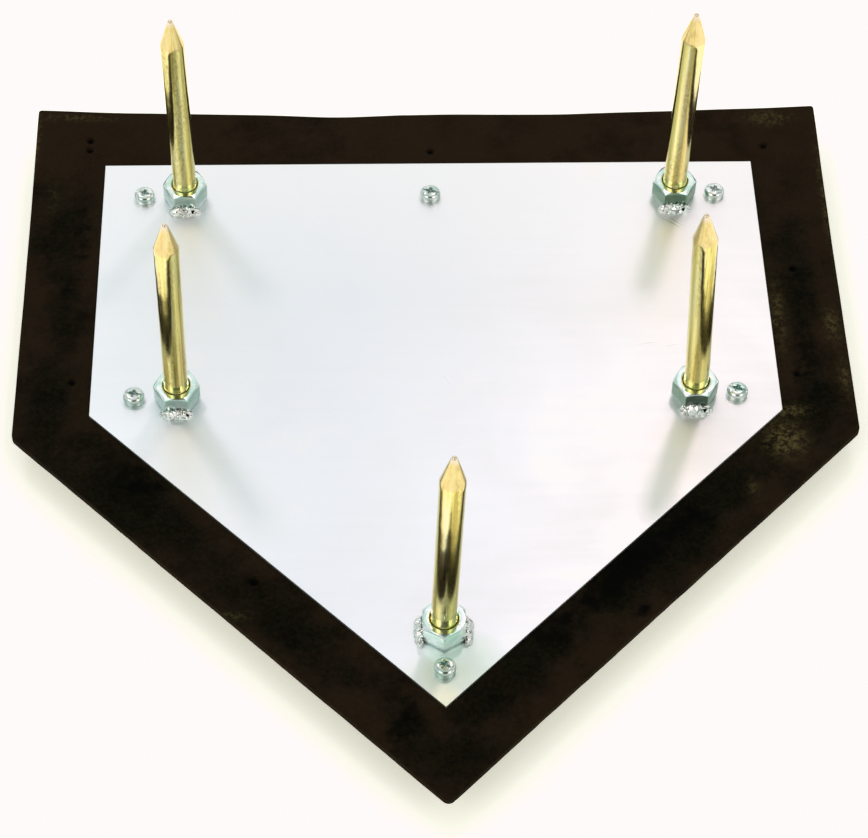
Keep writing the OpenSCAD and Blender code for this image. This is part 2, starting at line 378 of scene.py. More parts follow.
def zinc(name, dark, pale, tint, rough, lump=0.02, side=None):
    """Bright zinc plate with patches of chromate tint and specks of dirt, and masks that paint shade on a
    nut's flats and near black shade in bores, recesses, weld craters and dark near faces.
    """
    f = Finish(name, Metallic=1.0)
    cloud = f.noise(170, 5, 0.6, warp=0.6)
    colour = f.mix(f.levels(cloud, 0.38, 0.62), dark, pale)
    colour = f.mix(f.levels(f.noise(120, 3, 0.5, shift=(4, 4, 0)), 0.46, 0.60, 0, 0.8), colour, tint)
    dirt_and_shade = f.levels(f.noise(700, 4, 0.7, shift=(1, 2, 3)), 0.62, 0.72, 0, 0.55)
    colour = f.mix(dirt_and_shade, colour, (0.20, 0.24, 0.19))
    # Painted shade: the side mask multiplies the side colour onto a nut's flats, and the next mask paints
    # shade near black.
    colour = f.mix(f.mask("side"), colour, side or pale, "MULTIPLY")
    colour = f.mix(f.mask("dirt_and_shade"), colour, (0.004, 0.004, 0.003))
    return f.wear(colour, f.levels(cloud, 0.3, 0.7, rough - 0.05, rough + 0.08),
                  f.bump(f.noise(1100, 3, 0.6), lump))


def yellow_zinc():
    """Gold plating, streaked along the spike. The thread is duller, with a band of painted shade at its top
    where it meets the nut; the cone is a deeper gold, and the nose paler and pinker.
    """
    f = Finish("yellow_zinc", Metallic=1.0)
    streak = f.noise(330, 5, 0.62, stretch=(1, 1, 0.018))
    wide = f.noise(130, 3, 0.5, stretch=(1, 1, 0.04), shift=(2, 5, 1))
    mottle = f.noise(780, 6, 0.75, stretch=(1, 1, 0.4), shift=(0, 3, 6))
    colour = f.ramp(streak, (0.36, (0.52, 0.38, 0.09)), (0.46, (0.93, 0.80, 0.27)),
                    (0.53, (1.0, 0.88, 0.37)), (0.62, (1.0, 0.97, 0.60)))
    colour = f.mix(f.levels(wide, 0.48, 0.60, 0, 0.5), colour, (0.72, 0.63, 0.17))
    colour = f.mix(f.levels(wide, 0.46, 0.38, 0, 0.4), colour, (0.93, 0.66, 0.28))
    band = f.levels(f.noise(150, 3, 0.5, stretch=(1, 1, 0.10), shift=(7, 1, 4)), 0.46, 0.60, 0.12, 1.0)
    speckle = f.math("MULTIPLY", f.levels(mottle, 0.44, 0.58, 0, 0.6), band)
    colour = f.mix(speckle, colour, (0.46, 0.30, 0.06))
    height = f.axis("Z")
    thread = f.levels(height, (FLARE_Z - 0.3) * MM, (FLARE_Z - 0.7) * MM)
    colour = f.mix(thread, colour, (0.50, 0.36, 0.11))
    # Painted shade: a band at the top of the thread, below the flare, goes near black.
    above = f.levels(height, (FLARE_Z - 2.9) * MM, (FLARE_Z - 1.7) * MM)
    colour = f.mix(f.math("MULTIPLY", thread, above), colour, (0.10, 0.07, 0.02))
    cone = f.levels(height, (CONE_Z - 0.2) * MM, (CONE_Z + 0.2) * MM)
    colour = f.mix(f.math("MULTIPLY", cone, 0.65), colour, (0.76, 0.58, 0.29))
    nose = f.levels(height, (TIP_Z - 5.1) * MM, (TIP_Z - 1.9) * MM)
    nose = f.math("MULTIPLY", nose, f.levels(mottle, 0.30, 0.52, 0.35, 1.0))
    colour = f.mix(nose, colour, (0.84, 0.72, 0.60))
    plain = f.levels(streak, 0.3, 0.7, 0.21, 0.13)
    rough = f.math("ADD", plain, f.math("MULTIPLY", cone, 0.05))
    lumps = f.noise(600, 2, 0.5, stretch=(1, 1, 0.35))
    return f.wear(colour, rough, f.bump(lumps, 0.03, f.bump(streak, 0.02)))


def brass():
    """Unpolished brass."""
    f = Finish("insert_brass", Metallic=1.0)
    cloud = f.noise(300, 4, 0.6)
    colour = f.mix(cloud, (0.60, 0.42, 0.15), (0.82, 0.64, 0.30))
    return f.wear(colour, f.levels(cloud, 0.3, 0.7, 0.28, 0.42), f.bump(f.noise(900, 3, 0.6), 0.02))


FINISHES = {
    "black_rubber": black_rubber(),
    "white_rubber": white_rubber(),
    "zinc_sheet": zinc_sheet(),
    # The side colour is painted shade on each nut's flats.
    "zinc_nut": zinc("zinc_nut", (0.69, 0.86, 0.83), (0.91, 1.0, 0.98), (0.57, 0.82, 0.75), 0.15,
                     side=(0.38, 0.47, 0.37)),
    "weld_metal": zinc("weld_metal", (0.92, 0.95, 0.93), (1.0, 1.0, 0.99), (0.76, 0.86, 0.82), 0.11, 0.03),
    "yellow_zinc": yellow_zinc(),
    "zinc_screw": zinc("zinc_screw", (0.60, 0.70, 0.67), (0.92, 0.95, 0.95), (0.46, 0.64, 0.57), 0.16),
    "zinc_washer": zinc("zinc_washer", (0.62, 0.68, 0.68), (0.86, 0.89, 0.89), (0.54, 0.70, 0.65), 0.24),
    "insert_brass": brass(),
}


# ---------------------------------------------------------------- rubber base
def outline(inset, step=1.35):
    """The rubber's outline, moved in by inset, as evenly spaced points. Each outline has the same number."""
    w = BASE_W / 2 - inset
    y = FRONT_Y - inset
    side = BASE_SIDE - inset * (1 + math.tan(math.radians(22.5)))
    corners = [np.array(c) for c in ((-w, y), (-w, y - side), (0, y - side - w), (w, y - side), (w, y))]
    full = (BASE_SIDE, BASE_W / 2 * math.sqrt(2), BASE_W / 2 * math.sqrt(2), BASE_SIDE, BASE_W)
    bends = []
    for i, radius in enumerate(CORNER_RADII):
        here, radius = corners[i], max(radius - inset, 0.3)
        u, v = (corners[i - 1] - here), (corners[(i + 1) % 5] - here)
        u, v = u / np.linalg.norm(u), v / np.linalg.norm(v)
        half = math.acos(float(u @ v)) / 2
        centre = here + (u + v) / np.linalg.norm(u + v) * radius / math.sin(half)
        first, last = here + u * radius / math.tan(half) - centre, here + v * radius / math.tan(half) - centre
        start = math.atan2(first[1], first[0])
        sweep = (math.atan2(last[1], last[0]) - start + 3 * math.pi) % (2 * math.pi) - math.pi
        angles = start + sweep * np.linspace(0, 1, 8)
        bends.append(centre + radius * np.stack([np.cos(angles), np.sin(angles)], 1))
    points = []
    for i in range(5):
        a, b = bends[i][-1], bends[(i + 1) % 5][0]
        count = int(full[i] / step)
        share = (np.arange(1, count) / count)[:, None]
        points += [bends[i], a + (b - a) * share]
    return np.vstack(points)


def edge_lift(x, y):
    """How far the free edge lifts or sags. The front corners curl up, and the front edge sags between."""
    along = 6.2 * (x / 247) ** 2 - 1.9 - 1.7 * np.exp(-((x + 60) / 30) ** 2)
    along += 0.7 * np.exp(-((x - 20) / 22) ** 2) - 0.6 * np.exp(-((x - 75) / 30) ** 2)
    front = along * np.exp(-((FRONT_Y - y) / 65) ** 2)
    return front + 0.35 * ripple(np.stack([x, y], 1), 75, 5)


def blobs(x, y, places):
    """The strongest of several soft spots: x, y, half length, half width, strength, and for some a turn."""
    best = np.zeros(len(x))
    for at_x, at_y, long, wide, strength, *turn in places:
        angle = math.radians(sum(turn))
        c, s = math.cos(angle), math.sin(angle)
        along, across = (x - at_x) * c + (y - at_y) * s, (y - at_y) * c - (x - at_x) * s
        best = np.maximum(best, strength * np.exp(-(along / long) ** 2 - (across / wide) ** 2))
    return best


# Pits in the rubber's underside, and the soft spots of its dust, stains and bloom
PIT_R, PIT_DEPTH = 2.2, 1.7
PITS = [(-214, 230), (-214, 222), (1, 219), (213, 222), (221, 118), (215, 35), (-215, 33), (-105, -112)]
DUST = [(218, 245, 12, 5, 0.55), (208, 81, 4, 24, 0.5), (240, 72, 5, 12, 0.5), (243, 32, 3, 13, 0.5),
        (207, 7, 11, 4, 0.8), (203, -14, 10, 11, 1.1), (181, -49, 3, 7, 0.3), (-235, 182, 5, 14, 0.15),
        (-223, 248, 26, 2.5, 0.4), (-117, -135, 9, 3, 0.35), (-247, 231, 2, 20, 0.5),
        (246, 180, 2, 40, 0.4)]
STAINS = [(106, -104, 52, 10, 1.0, 45), (142, -72, 16, 12, 0.8, 45), (64, -145, 14, 9, 0.8, 45),
          (112, -133, 8, 4, 0.7, 45), (-176, -42, 26, 15, 0.62, -45), (-80, -153, 22, 9, 0.35, -45),
          (30, -192, 13, 7, 0.4), (-22, -206, 9, 24, 0.55, -20), (222, 40, 9, 45, 0.55),
          (228, 105, 8, 25, 0.35), (-214, 150, 7, 28, 0.42), (-234, 140, 4, 26, 0.35),
          (-222, 100, 10, 14, 0.35), (-105, -112, 7, 6, 0.5, -45)]
# Bloom runs down the middle of the sides and of the two slanted edges
BLOOM = [(-224, 110, 60, 15, 0.75, 90), (-226, 20, 45, 14, 0.75, 90), (224, 110, 70, 13, 0.7, 90),
         (226, 20, 45, 14, 0.7, 90), (-160, -66, 75, 22, 1.15, -45), (-80, -146, 70, 20, 1.0, -45),
         (-20, -205, 34, 16, 0.7, -45), (0, -222, 34, 15, 0.6), (130, -84, 80, 18, 1.0, 45),
         (50, -162, 60, 18, 0.95, 45)]


def rubber_shell():
    """The rubber base, from the recess for the white face out round its edge and in over the top."""
    fillet_r, wall_middle, bare_width, ring_step, far_inset = 0.9, 22.6, 54.0, 1.15, 60.0
    fillet = [(fillet_r - fillet_r * math.sin(a), PLATE_T - fillet_r + fillet_r * math.cos(a))
              for a in np.radians((90, 67, 45, 22, 0))]
    bevel = [(s, RIM_Z * (1 - (s / (FACE_INSET - LIP_W)))) for s in np.linspace(30.4, 0.25, 14)]
    profile = [(FACE_INSET - 0.05, FACE_T), (FACE_INSET - 0.05, 0.2), (FACE_INSET - 0.25, 0.0), (30.9, 0.0)]
    profile += bevel + [(0.05, RIM_Z + 0.15), (0.0, RIM_Z + 0.5), (0.0, wall_middle)] + fillet
    profile += [(s, PLATE_T) for s in np.arange(2.0, bare_width, ring_step)]
    rings, insets = [], []
    for inset, z in profile:
        flat = outline(inset)
        rings.append(np.column_stack([flat, np.full(len(flat), z)]))
        insets.append(np.full(len(flat), inset))
    inner, middle = rings[-1], np.array([0.0, 20.0, PLATE_T])
    for share in (0.75, 0.5, 0.25):
        rings.append(middle + (inner - middle) * share)
        insets.append(np.full(len(inner), far_inset))
    points, faces = loft(rings)
    inset = np.append(np.concatenate(insets), (far_inset, far_inset))
    x, y, top = points[:, 0], points[:, 1], points[:, 2] > PLATE_T - 0.3
    free = np.clip(1 - inset / (FACE_INSET - 1), 0, 1) ** 1.4
    # The pit mask gives each pit its depth and also paints shade in it.
    pit_and_shade = np.zeros(len(points))
    for at_x, at_y in PITS:
        pit_and_shade = np.maximum(pit_and_shade, np.exp(-(((x - at_x) ** 2 + (y - at_y) ** 2) / PIT_R ** 2) ** 2))
    pit_and_shade *= top & (inset < bare_width)
    bare = top & (inset > 0.5) & (inset < 43)
    points[:, 2] += free * edge_lift(x, y)
    lumps = 0.10 * ripple(points, 9, 21) + 0.18 * ripple(points, 31, 22)
    points[:, 2] += np.where(bare, lumps, 0) - PIT_DEPTH * pit_and_shade
    wobble = 0.22 * ripple(points, 26, 31) * (inset < 1) * (np.abs(x) < 246) * (y < FRONT_Y - 2)
    points[:, :2] *= (1 - np.abs(wobble) / 250)[:, None]
    masks = {"pit_and_shade": pit_and_shade, "dust": blobs(x, y, DUST) * top, "stain": blobs(x, y, STAINS) * top,
             "olive": blobs(x, y, BLOOM) * top}
    return (points, faces), masks


def sheet_shell():
    """The steel plate: five sharp corners, fine rounded edges, and six holes for the screws."""
    low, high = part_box("steel_plate")
    w, y, bottom = high.x / MM, high.y / MM, low.z / MM
    point = low.y / MM
    shoulder = point + w
    corners = np.array([(-w, y), (-w, shoulder), (0, point), (w, shoulder), (w, y)])
    angles = around(40)

    def outer(inset):
        rows = []
        for i in range(5):
            u, v = corners[i - 1] - corners[i], corners[(i + 1) % 5] - corners[i]
            u, v = u / np.linalg.norm(u), v / np.linalg.norm(v)
            rows.append(corners[i] + (u + v) * inset / math.sqrt(1 - (u @ v) ** 2))
        return np.array(rows)

    def hole(screw, inset):
        r = HOLE_R + inset
        return screw_xy(screw) + r * np.stack([np.cos(angles), np.sin(angles)], 1)

    def loops(inset):
        return [outer(inset)] + [hole(screw, inset) for screw in SCREWS]

    rim, corner, rim_reach = 0.22, 0.07, HOLE_R + 0.3
    profile = [(rim, STEEL_Z), (corner, STEEL_Z - corner), (0, STEEL_Z - rim), (0, bottom + rim),
               (corner, bottom + corner), (rim, bottom)]
    levels = [[np.column_stack([loop, np.full(len(loop), z)]) for loop in loops(inset)]
              for inset, z in profile]
    walls = [loft(rings, caps=False) for rings in zip(*levels)]
    flat, edges = [], []
    for ring in loops(rim):
        start, count = len(flat), len(ring)
        flat += [Vector(p) for p in ring]
        edges += [(start + i, start + (i + 1) % count) for i in range(count)]
    points, _, faces, *_ = delaunay_2d_cdt(flat, edges, [], 1, 1e-5)
    points = np.array(points)
    centres = np.array([screw_xy(screw) for screw in SCREWS])
    on_rim = np.linalg.norm(points[:, None] - centres[None], axis=2) < rim_reach
    kept = [f for f in faces if not on_rim[list(f)].all(0).any()]
    lids = [(np.column_stack([points, np.full(len(points), z)]), kept) for z in (STEEL_Z, bottom)]
    return together(*walls, *lids)


def build_sheet():
    sheet = piece("steel_sheet", sheet_shell(), "plate", ["steel_plate"], "zinc_sheet", 25, weld=0.002)
    for polygon in sheet.data.polygons:
        polygon.use_smooth = abs(polygon.normal.z) < 0.99


def build_rubber():
    shell, masks = rubber_shell()
    piece("base_rubber", shell, "plate", ["rubber_base"], "black_rubber", 40, masks)


# ---------------------------------------------------------------- turned and threaded pieces
def thread_height(turn, z, pitch):
    """1 on a thread's crest and 0 in its root, for a right-hand thread."""
    t = (z / pitch - turn / (2 * math.pi)) % 1
    return np.clip((1 - 2 * np.abs(t - 0.5) - 0.2) / 0.66, 0, 1)


def turned(rows, radius, count):
    """Rings of a turned piece: radius(angles, z) gives each ring's radii."""
    angles = around(count)
    return [hoop(angles, radius(angles, z), z) for z in rows]


def spike_shell(spot):
    """A spike: thread, flare, shank, cone and round nose, bent just above the nut so that it leans."""
    rise = NOSE_Z - CONE_Z
    slope = math.atan2(SHANK_R, rise) - math.asin(NOSE_R / math.hypot(SHANK_R, rise))

    def radius(angles, z):
        if z <= FLARE_Z:
            run_out = smoothstep((FLARE_Z - z) / 0.9)
            thread = THREAD_R - THREAD_DEPTH * run_out * (1 - thread_height(angles, z, PITCH))
            return np.minimum(thread, THREAD_R - 1.3 + (z - SPIKE_Z))
        if z <= FLARE_Z + FLARE_L:
            s = (z - FLARE_Z) / FLARE_L
            return np.full(len(angles), SHANK_R + (THREAD_R - SHANK_R) * (1 - s) ** 2)
        if z <= CONE_Z:
            return np.full(len(angles), SHANK_R)
        side = (NOSE_Z - z) * math.tan(slope) + NOSE_R / math.cos(slope)
        ball = math.sqrt(max(NOSE_R ** 2 - (z - NOSE_Z) ** 2, 0.0004))
        return np.full(len(angles), ball if z > NOSE_Z + NOSE_R * math.sin(slope) else min(side, SHANK_R))

    rows = list(np.arange(SPIKE_Z, FLARE_Z, PITCH / 11)) + list(np.linspace(FLARE_Z, FLARE_Z + FLARE_L, 9))
    rows += list(np.linspace(FLARE_Z + FLARE_L, CONE_Z, 40))[1:] + list(np.linspace(CONE_Z, NOSE_Z, 12))[1:]
    rows += [NOSE_Z + NOSE_R * math.sin(a) for a in np.radians(np.linspace(8, 89, 12))]
    points, faces = loft(turned(rows, radius, 96))
    height, bend = points[:, 2] - (FLARE_Z + FLARE_L), 14.0
    lean = np.where(height < bend, np.clip(height, 0, bend) ** 2 / (2 * bend), height - bend / 2)
    lean /= TIP_Z - FLARE_Z - FLARE_L - bend / 2
    points[:, :2] += lean[:, None] * np.array(LEAN[spot])
    points[:, :2] += (0.03 * ripple(points[:, 2:], 17, 40) * (height > 0))[:, None]
    return points, faces


def nut_shell(side_shade, near_face_shade):
    """A chamfered hex nut with a threaded, countersunk bore, from z = 0 up.

    The first number is how strong the painted shade on its sides is, and the second how strong the painted
    dark reflection on its near side; the bore is painted dark with shade.
    """
    angles = around(144)
    facing = np.abs(np.cos(angles[:, None] - np.radians((30, 90, 150))[None, :]))
    hexagon = NUT_FLATS / 2 / (facing ** 55).sum(1) ** (1 / 55)
    chamfer_r = NUT_FLATS / 2 * 0.955
    drop = (hexagon - chamfer_r) * math.tan(math.radians(38))
    clearance, countersink = 0.15, 1.15
    profile = [(chamfer_r - 0.5, 0.0), (chamfer_r, 0.04), (hexagon - 0.12, drop - 0.02)]
    first_side = len(profile)
    profile += [(hexagon, drop + 0.18)]
    profile += [(hexagon, drop + 0.18 + (NUT_H - 2 * drop - 0.36) * s) for s in (0.25, 0.5, 0.75, 1)]
    last_side = len(profile) - 1
    profile += [(hexagon - 0.12, NUT_H - drop + 0.02), (chamfer_r, NUT_H - 0.04), (chamfer_r - 0.5, NUT_H),
                (SINK_R + 0.9, NUT_H), (SINK_R + 0.15, NUT_H - 0.02)]
    first_bore_shade = len(profile) + 2
    for z in np.arange(NUT_H - 0.12, 0.1, -PITCH / 11):
        thread = THREAD_R + clearance - THREAD_DEPTH * (1 - thread_height(angles, z + STEEL_Z, PITCH))
        sink = max(SINK_R - countersink * (NUT_H - z), SINK_R - countersink * z)
        profile.append((np.maximum(thread, sink), z))
    profile.append((SINK_R + 0.15, 0.0))
    rings = [hoop(angles, radius, z) for radius, z in profile]
    number = np.repeat(np.arange(len(rings)), len(angles))
    side = (number >= first_side) & (number <= last_side)
    near = np.tile(np.cos(angles + math.pi / 2) > math.cos(math.radians(29)), len(rings))
    # Painted shade: the bore rings go near black, and so does the near side as far as the second number says;
    # the sides are darkened by the first.
    masks = {"dirt_and_shade": np.maximum(number >= first_bore_shade, side * near * near_face_shade), "side": side * side_shade}
    return loft(rings, closed=True), masks


def bead_shell(seed, crater_u):
    """One weld bead along the foot of a nut's flat, on its -Y side: overlapping drops with a small crater,
    and a mask of painted shade in the crater, along the seam and veins and at the toe.
    """
    half, out, up = 10.2, 5.0, 5.6
    steps, points_each, count = 150, 34, 7
    draw = np.random.default_rng(seed)
    drops = np.linspace(-9.2, 9.2, count) + draw.uniform(-0.9, 0.9, count)
    sizes, lean = draw.uniform(0.75, 1.25, count), draw.uniform(-0.8, 1.4, count)
    crater_a = draw.uniform(38, 55)
    rings, dirt_and_shade = [], []
    angles = np.radians(np.linspace(-5, 95, points_each))
    a = np.degrees(angles)
    for u in np.linspace(-half, half, steps):
        body = max(1 - (abs(u) / half) ** 3.4, 0.0) ** 0.5
        base = 1 / np.sqrt((np.cos(angles) / out) ** 2 + (np.sin(angles) / up) ** 2)
        away = (u - drops[:, None] - lean[:, None] * np.sin(2 * angles)[None, :]) / (2.1 * sizes[:, None])
        drop = np.max(sizes[:, None] * (1.15 - away ** 2), axis=0) - 1.0
        local = np.stack([np.full(points_each, u), 4.5 * np.cos(angles), 4.5 * np.sin(angles)], 1)
        rough = 0.55 * ripple(local, 5.5, seed + 7) + 0.30 * ripple(local, 2.6, seed + 8)
        vein = smoothstep((0.2 - np.abs(ripple(local, 4.2, seed + 11))) / 0.14)
        vein *= smoothstep((ripple(local, 5.0, seed + 12) + 0.35) / 0.4)
        rough -= 0.4 * vein
        spot = ((u - crater_u) / 0.8) ** 2 + ((a - crater_a + 5 * np.sin(3 * u)) / 10) ** 2
        crater = np.exp(-spot ** 1.6)
        lip = np.exp(-(np.sqrt(spot) - 1.55) ** 2 / 0.16)
        radius = base * 0.93 + 0.45 * drop * np.sin(2 * np.clip(angles, 0.1, 1.5)) ** 0.5 + rough + 0.35 * lip
        radius = np.maximum(radius * body - 1.6 * crater * body, 0.05)
        flat_y = -NUT_FLATS / 2
        y, z = flat_y + 0.1 - radius * np.cos(angles), radius * np.sin(angles) - 0.1
        ring = np.stack([np.full(points_each, u), y, z], 1)
        heel = np.array([[u, flat_y + 0.55, 0.4], [u, flat_y + 0.4, -0.1]])
        rings.append(np.vstack([ring, heel]))
        # Painted shade: the crater, the seam against the nut, the veins and the toe are darkened.
        seam = smoothstep((a - 70) / 12) * smoothstep((ripple(local, 1.7, seed + 9) + 0.1) / 0.3)
        seam = np.maximum(seam, 0.75 * vein)
        toe = smoothstep((10 - a) / 10) * smoothstep((ripple(local, 2.2, seed + 10) + 0.1) / 0.5)
        dirt_and_shade += list(np.clip(crater * 1.2 + 0.8 * seam + 0.4 * toe, 0, 1)) + [0, 0]
    return loft(rings), np.array(dirt_and_shade + [0.0, 0.0])


def build_spot(spot, seed):
    xy = spot_xy(spot)
    turn = 90 if spot == "point" else 0
    nut, masks = nut_shell(*NUT_SHADE[spot])
    piece("hex_nut_" + spot, placed(nut, xy, STEEL_Z, turn), "plate", ["nut_" + spot], "zinc_nut", 32, masks)
    near, near_bead_shade = bead_shell(seed, 6.4 if spot == "shoulder_left" else 4.9)
    far, far_bead_shade = bead_shell(seed + 50, -4.9)
    beads = together(placed(near, xy, STEEL_Z, turn), placed(far, xy, STEEL_Z, turn + 180))
    piece("welds_" + spot, beads, "plate", ["weld_beads_" + spot], "weld_metal", 60,
          {"dirt_and_shade": np.concatenate([near_bead_shade, far_bead_shade])})
    spike = placed(spike_shell(spot), xy)
    piece("bar_" + spot, spike, "spike_" + spot, ["spike_" + spot, "spike_thread_" + spot], "yellow_zinc", 38)


# ---------------------------------------------------------------- screws and lock washers
def scratch_object(shell):
    """An object for use while a shape is worked out. It is in millimetres, and is removed afterwards."""
    mesh = bpy.data.meshes.new("scratch")
    mesh.from_pydata(shell[0].tolist(), [], shell[1])
    obj = bpy.data.objects.new("scratch", mesh)
    bpy.context.scene.collection.objects.link(obj)
    return obj


def block(l, w, low, high, flare=0.0, turn=0.0):
    """A block whose top is wider than its foot by flare on each side."""
    foot, top = [], []
    for x, y in ((-1, -1), (1, -1), (1, 1), (-1, 1)):
        foot.append((x * l / 2, y * w / 2, low))
        top.append((x * (l / 2 + flare), y * (w / 2 + flare), high))
    points = np.array(foot + top)
    faces = [(3, 2, 1, 0), (4, 5, 6, 7), (0, 1, 5, 4), (1, 2, 6, 5), (2, 3, 7, 6), (3, 0, 4, 7)]
    return placed((points, faces), turn=turn)


def screw_head():
    """The pan head with its slot and cross, cut and then softened as plating softens it."""
    side = HEAD_H * 0.35
    dome = [(HEAD_R - 3.2 * (1 - math.cos(a)), side + (HEAD_H - side) * math.sin(a))
            for a in np.radians(range(0, 91, 9))]
    profile = [(HEAD_R - 0.2, 0.0), (HEAD_R, 0.2)] + dome + [(1.5, HEAD_H)]
    head = scratch_object(loft([hoop(around(96), r, z) for r, z in profile]))
    slot_w, slot_depth, cross_l, cross_w, cross_depth, cross_flare = 1.3, 1.4, 4.6, 1.2, 2.6, 0.55
    cutters = [block(2 * HEAD_R + 2, slot_w, HEAD_H - slot_depth, HEAD_H + 1, 0.05)]
    cutters += [block(cross_l, cross_w, HEAD_H - cross_depth, HEAD_H + 0.1, cross_flare, turn)
                for turn in (0.0, 90)]
    tools = [scratch_object(cutter) for cutter in cutters]
    for tool in tools:
        cut = head.modifiers.new("cut", "BOOLEAN")
        cut.object, cut.operation, cut.solver = tool, "DIFFERENCE", "EXACT"
    remesh = head.modifiers.new("soften", "REMESH")
    remesh.mode, remesh.voxel_size = "VOXEL", 0.13
    smooth = head.modifiers.new("smooth", "SMOOTH")
    smooth.factor, smooth.iterations = 0.5, 4
    solved = head.evaluated_get(bpy.context.evaluated_depsgraph_get()).to_mesh()
    points = np.array([v.co for v in solved.vertices], float)
    faces = [tuple(p.vertices) for p in solved.polygons]
    for obj in [head] + tools:
        bpy.data.objects.remove(obj)
    return points, faces


def screw_shank():
    """The screw's threaded shank, from just inside its head down to a tapered end."""
    pitch, depth = 25.4 / 20, 0.68

    def radius(angles, z):
        thread = SCREW_R - depth * (1 - thread_height(angles, z, pitch)) * smoothstep(-z / 0.8)
        return np.minimum(thread, SCREW_R - 0.9 + (z + SCREW_L) * 1.2)

    rows = np.append(np.arange(-SCREW_L, 0.0, pitch / 8), 0.15)
    return loft(turned(rows, radius, 48))


def washer_shell():
    """A split lock washer, a ring of squarish section whose cut ends stand a little apart."""
    inner, outer, half = 3.5, 6.1, WASHER_T / 2
    corner = 0.18
    section = [(inner + corner, -half), (outer - corner, -half), (outer, -half + corner),
               (outer, half - corner), (outer - corner, half), (inner + corner, half), (inner, half - corner),
               (inner, -half + corner)]
    rings = []
    for t in np.linspace(0, 1, 110):
        ring = []
        for r, z in section:
            lean = (z + half) / WASHER_T * 0.75
            start, stop = (0.6 + lean - 0.35) / r, 2 * math.pi - (0.6 - lean + 0.35) / r
            angle = start + (stop - start) * t
            spring = 0.16 * (t - 0.5) * abs(2 * t - 1) ** 6
            ring.append((r * math.cos(angle), r * math.sin(angle), half + z * 0.96 + spring))
        rings.append(ring)
    return loft(rings)


def build_screws():
    """The six screws and their washers. A mask paints a little shade into the recess of each head."""
    head, shank, washer = screw_head(), screw_shank(), washer_shell()
    for screw in SCREWS:
        xy, turn = screw_xy(screw), SLOT_TURN[screw]
        shell = together(head, shank)
        reach, z = np.hypot(shell[0][:, 0], shell[0][:, 1]), shell[0][:, 2]
        # Painted shade in the recess of each head.
        recess = smoothstep((HEAD_H - 0.6 - z) / 1.0) * (z > 1) * (reach < 4.8) * 0.22
        piece("pan_screw_" + screw, placed(shell, xy, STEEL_Z + WASHER_T, turn), "plate", ["screw_" + screw],
              "zinc_screw", 40, {"dirt_and_shade": recess})
        piece("split_washer_" + screw, placed(washer, xy, STEEL_Z, turn), "plate", ["lock_washer_" + screw],
              "zinc_washer")


# ---------------------------------------------------------------- CAD nodes that stay
def keep_node(name, slot, bevel=0.0):
    """Give a CAD node that stays its finish, and edges softened by bevel, in millimetres."""
    node = frame["nodes"][name]
    node.data.materials.clear()
    node.data.materials.append(FINISHES[slot])
    if bevel:
        weld = node.modifiers.new("weld", "WELD")
        weld.merge_threshold = 1e-6
        soft = node.modifiers.new("edge", "BEVEL")
        soft.width, soft.segments, soft.limit_method = bevel * MM, 3, "ANGLE"
        soft.harden_normals = True


# ---------------------------------------------------------------- camera, floor and light
SKY = (0.71, 0.745, 0.715)
# Soft round patches of the studio: azimuth from +Y towards +X, elevation, inner and outer radius, colour
PATCHES = [(0, 31, 8, 47, (0.925, 0.985, 0.955)), (62, 50, 8, 24, (0.28, 0.40, 0.33)),
           (-64, 50, 8, 22, (0.42, 0.56, 0.49)), (180, 56, 12, 30, (0.09, 0.13, 0.10)),
           (-130, 46, 6, 20, (2.3, 2.3, 2.1)), (133, 46, 5, 18, (2.3, 2.3, 2.1))]


def add_camera():
    """The camera as fitted to the photo's outlines of the rubber and the steel."""
    tilt, turn, roll = (math.radians(a) for a in (51.68, 2.48, 1.41))
    ahead = Vector((math.sin(turn) * math.cos(tilt), math.cos(turn) * math.cos(tilt), -math.sin(tilt)))
    level = ahead.cross(Vector((0, 0, 1))).normalized()
    upright = level.cross(ahead)
    right = math.cos(roll) * level + math.sin(roll) * upright
    up = math.cos(roll) * upright - math.sin(roll) * level
    data = bpy.data.cameras.new("camera")
    data.sensor_fit, data.sensor_width, data.lens, data.clip_end = "HORIZONTAL", 36.0, 116.34, 50.0
    camera = bpy.data.objects.new("camera", data)
    facing = Matrix((right, up, -ahead)).transposed().to_4x4()
    camera.matrix_world = Matrix.Translation((-0.0458, -1.01425, 1.3139)) @ facing
    bpy.context.scene.collection.objects.link(camera)
    bpy.context.scene.camera = camera


def add_light(name, place, aim, size, power, colour):
    data = bpy.data.lights.new(name, "AREA")
    data.shape, data.size, data.energy, data.color = "DISK", size, power, colour
    light = bpy.data.objects.new(name, data)
    light.location = place
    light.rotation_euler = (Vector(aim) - Vector(place)).to_track_quat("-Z", "Y").to_euler()
    bpy.context.scene.collection.objects.link(light)


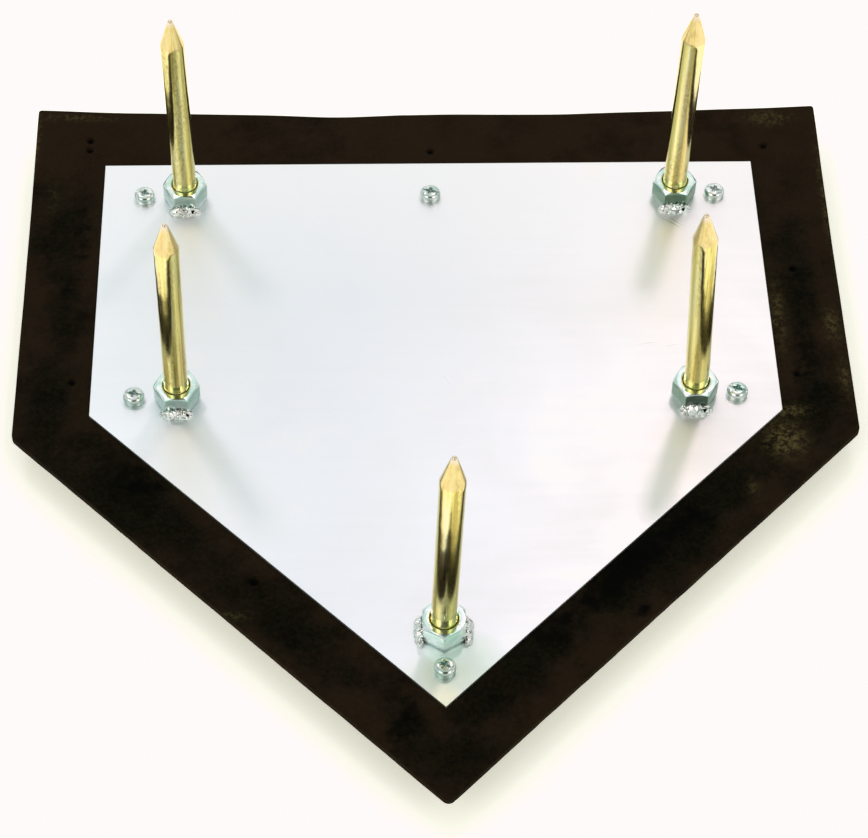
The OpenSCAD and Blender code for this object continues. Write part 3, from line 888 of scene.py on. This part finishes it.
def add_floor():
    mesh = bpy.data.meshes.new("floor")
    mesh.from_pydata([(-6, -6, 0), (6, -6, 0), (6, 6, 0), (-6, 6, 0)], [], [(0, 1, 2, 3)])
    floor = bpy.data.objects.new("floor", mesh)
    f = Finish("floor", Roughness=0.9, Specular_IOR_Level=0.0, Emission_Color=(0.98, 1, 0.79, 1),
               Emission_Strength=0.44)
    mesh.materials.append(f.wear(f.mix(f.noise(2, 2, 0.5), (0.93, 0.93, 0.93), (0.95, 0.95, 0.95))))
    bpy.context.scene.collection.objects.link(floor)
    floor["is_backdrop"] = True


def add_dark_card():
    """A dark card beside the camera, seen only in the metal, where the photographer leans over the plate."""
    mesh = bpy.data.meshes.new("dark_card")
    corners = [(0.03, -1.2, 1.15), (0.75, -1.2, 1.15), (0.75, -0.9, 2.4), (0.03, -0.9, 2.4)]
    mesh.from_pydata(corners, [], [(0, 1, 2, 3)])
    card = bpy.data.objects.new("dark_card", mesh)
    f = Finish("dark_card", Roughness=1.0, Specular_IOR_Level=0.0)
    mesh.materials.append(f.wear(f.mix(f.noise(3, 2, 0.5), (0.095, 0.070, 0.036), (0.115, 0.085, 0.046))))
    bpy.context.scene.collection.objects.link(card)
    card.visible_camera = card.visible_shadow = card.visible_diffuse = False
    card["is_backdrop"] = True


def add_surroundings():
    """A bright studio with brighter and darker patches."""
    world = bpy.data.worlds.new("surroundings")
    world.use_nodes = True
    tree = world.node_tree
    way = tree.nodes.new("ShaderNodeTexCoord").outputs["Generated"]
    sky = None
    for azimuth, elevation, inner, outer, colour in PATCHES:
        turn, tilt = math.radians(azimuth), math.radians(elevation)
        facing = tree.nodes.new("ShaderNodeVectorMath")
        facing.operation = "DOT_PRODUCT"
        level = math.cos(tilt)
        facing.inputs[1].default_value = (math.sin(turn) * level, math.cos(turn) * level, math.sin(tilt))
        share = tree.nodes.new("ShaderNodeMapRange")
        share.interpolation_type = "SMOOTHSTEP"
        share.inputs[1].default_value = math.cos(math.radians(outer))
        share.inputs[2].default_value = math.cos(math.radians(inner))
        mix = tree.nodes.new("ShaderNodeMix")
        mix.data_type = "RGBA"
        mix.inputs[6].default_value, mix.inputs[7].default_value = (*SKY, 1.0), (*colour, 1.0)
        tree.links.new(way, facing.inputs[0])
        tree.links.new(facing.outputs["Value"], share.inputs[0])
        tree.links.new(share.outputs[0], mix.inputs[0])
        if sky is not None:
            tree.links.new(sky, mix.inputs[6])
        sky = mix.outputs[2]
    tree.links.new(sky, tree.nodes["Background"].inputs["Color"])
    bpy.context.scene.world = world
    add_light("back_left", (-0.80, 1.13, 2.0), (0, 0, 0), 0.3, 3.2, (0.98, 0.83, 0.98))
    add_light("back_right", (0.47, 1.18, 2.05), (0, 0, 0), 0.2, 3.0, (1.0, 0.79, 0.92))
    view = bpy.context.scene.view_settings
    view.view_transform, view.look = "Standard", "None"
    view.use_curve_mapping = True
    for channel, top in zip(view.curve_mapping.curves[:3], (1.0, 0.956, 0.956)):
        channel.points[-1].location = (1.0, top)
    view.curve_mapping.extend = "HORIZONTAL"
    view.curve_mapping.update()


# ---------------------------------------------------------------- the scene
add_camera()
add_floor()
add_dark_card()
add_surroundings()
build_rubber()
build_sheet()
for number, spot in enumerate(SPOTS):
    build_spot(spot, 100 + 11 * number)
build_screws()
keep_node("white_face", "white_rubber", 0.3)
for screw in SCREWS:
    keep_node("insert_" + screw, "insert_brass")


def plain(corners):
    return [[float(x) for x in corner] for corner in corners]


{"cad": plain(cad_box), "visual": plain(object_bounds())}
